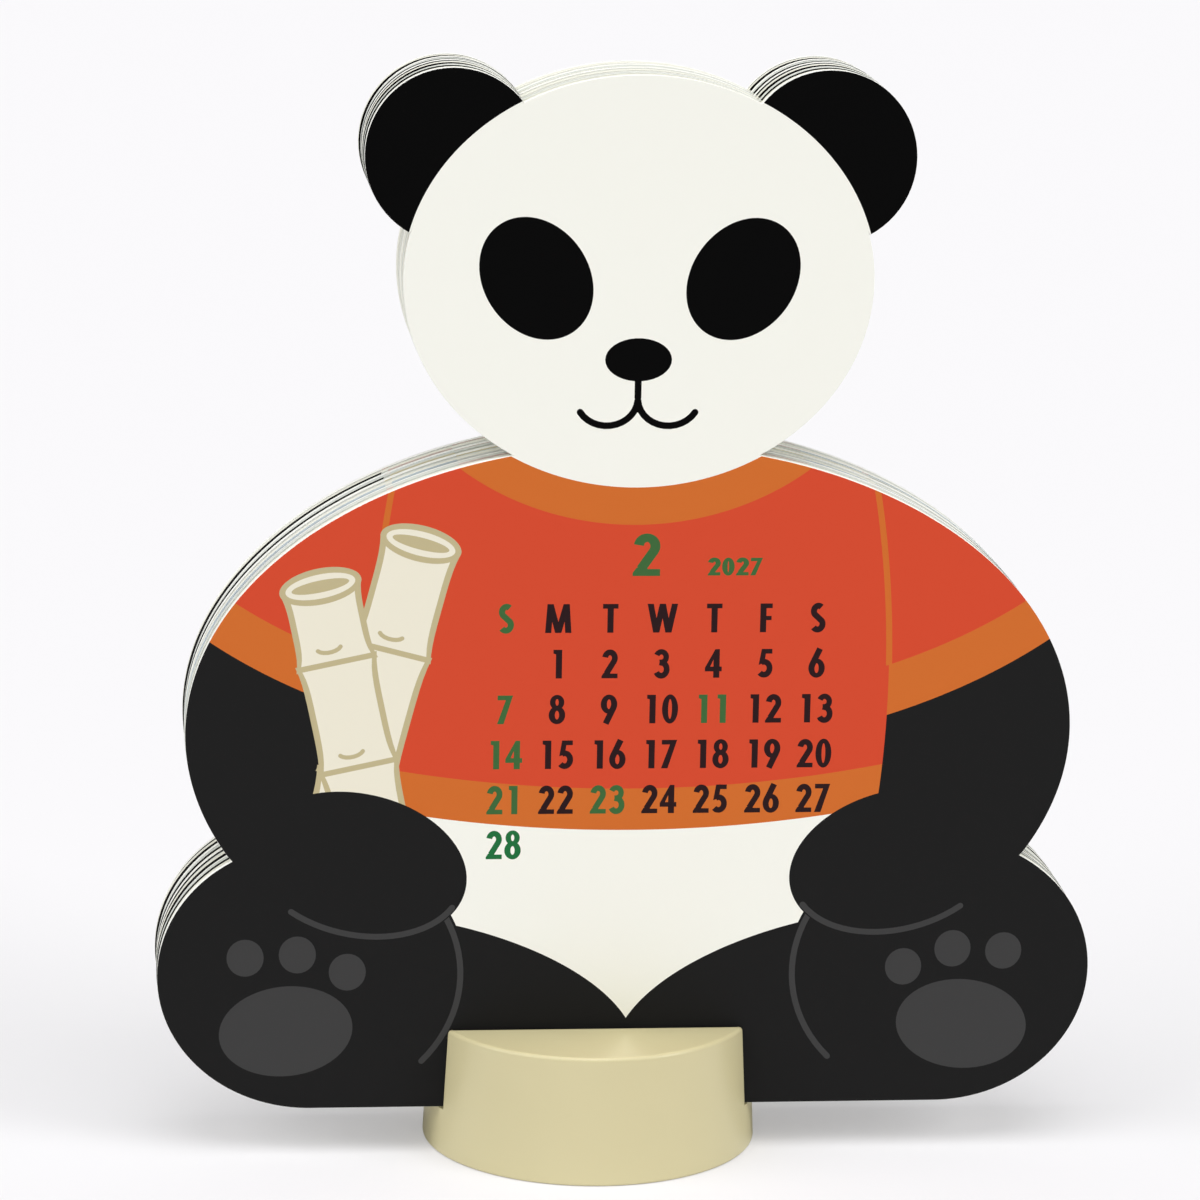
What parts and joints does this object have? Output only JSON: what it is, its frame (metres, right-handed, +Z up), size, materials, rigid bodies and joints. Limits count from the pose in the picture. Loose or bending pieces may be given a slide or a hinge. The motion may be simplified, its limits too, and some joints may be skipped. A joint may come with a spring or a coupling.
{
  "type": "desk calendar",
  "caption": "Desk calendar of thick die-cut board cards standing on edge in the slot of a round moulded stand; each card lifts out.",
  "frame": {"origin": "middle of the round stand's underside, on the desk", "axes": "+Z up, -Y towards the reader in front of the cards, +X to the reader's right along the slot"},
  "size_m": [0.132, 0.0476, 0.1539],
  "materials": {
    "stand_plastic": "satin cream moulding",
    "card_board": "satin coated white board, printed in black, orange-red, orange, cream and green"
  },
  "bodies": {
    "stand": {"stand": "stand_plastic"},
    "card_february": {"card_february": "card_board"},
    "card_march": {"card_march": "card_board"},
    "card_april": {"card_april": "card_board"},
    "card_may": {"card_may": "card_board"},
    "card_june": {"card_june": "card_board"},
    "card_july": {"card_july": "card_board"},
    "card_august": {"card_august": "card_board"},
    "card_september": {"card_september": "card_board"},
    "card_october": {"card_october": "card_board"},
    "card_november": {"card_november": "card_board"},
    "card_december": {"card_december": "card_board"},
    "card_cover": {"card_cover": "card_board"},
    "card_january": {"card_january": "card_board"}
  },
  "joints": [
    {"name": "lift_february", "type": "slide", "parent": "stand", "child": "card_february", "axis": [0, 0, 1], "range_m": [0, 0.155]},
    {"name": "lift_march", "type": "slide", "parent": "stand", "child": "card_march", "axis": [0, 0, 1], "range_m": [0, 0.155]},
    {"name": "lift_april", "type": "slide", "parent": "stand", "child": "card_april", "axis": [0, 0, 1], "range_m": [0, 0.155]},
    {"name": "lift_may", "type": "slide", "parent": "stand", "child": "card_may", "axis": [0, 0, 1], "range_m": [0, 0.155]},
    {"name": "lift_june", "type": "slide", "parent": "stand", "child": "card_june", "axis": [0, 0, 1], "range_m": [0, 0.155]},
    {"name": "lift_july", "type": "slide", "parent": "stand", "child": "card_july", "axis": [0, 0, 1], "range_m": [0, 0.155]},
    {"name": "lift_august", "type": "slide", "parent": "stand", "child": "card_august", "axis": [0, 0, 1], "range_m": [0, 0.155]},
    {"name": "lift_september", "type": "slide", "parent": "stand", "child": "card_september", "axis": [0, 0, 1], "range_m": [0, 0.155]},
    {"name": "lift_october", "type": "slide", "parent": "stand", "child": "card_october", "axis": [0, 0, 1], "range_m": [0, 0.155]},
    {"name": "lift_november", "type": "slide", "parent": "stand", "child": "card_november", "axis": [0, 0, 1], "range_m": [0, 0.155]},
    {"name": "lift_december", "type": "slide", "parent": "stand", "child": "card_december", "axis": [0, 0, 1], "range_m": [0, 0.155]},
    {"name": "lift_cover", "type": "slide", "parent": "stand", "child": "card_cover", "axis": [0, 0, 1], "range_m": [0, 0.155]},
    {"name": "lift_january", "type": "slide", "parent": "stand", "child": "card_january", "axis": [0, 0, 1], "range_m": [0, 0.155]}
  ]
}
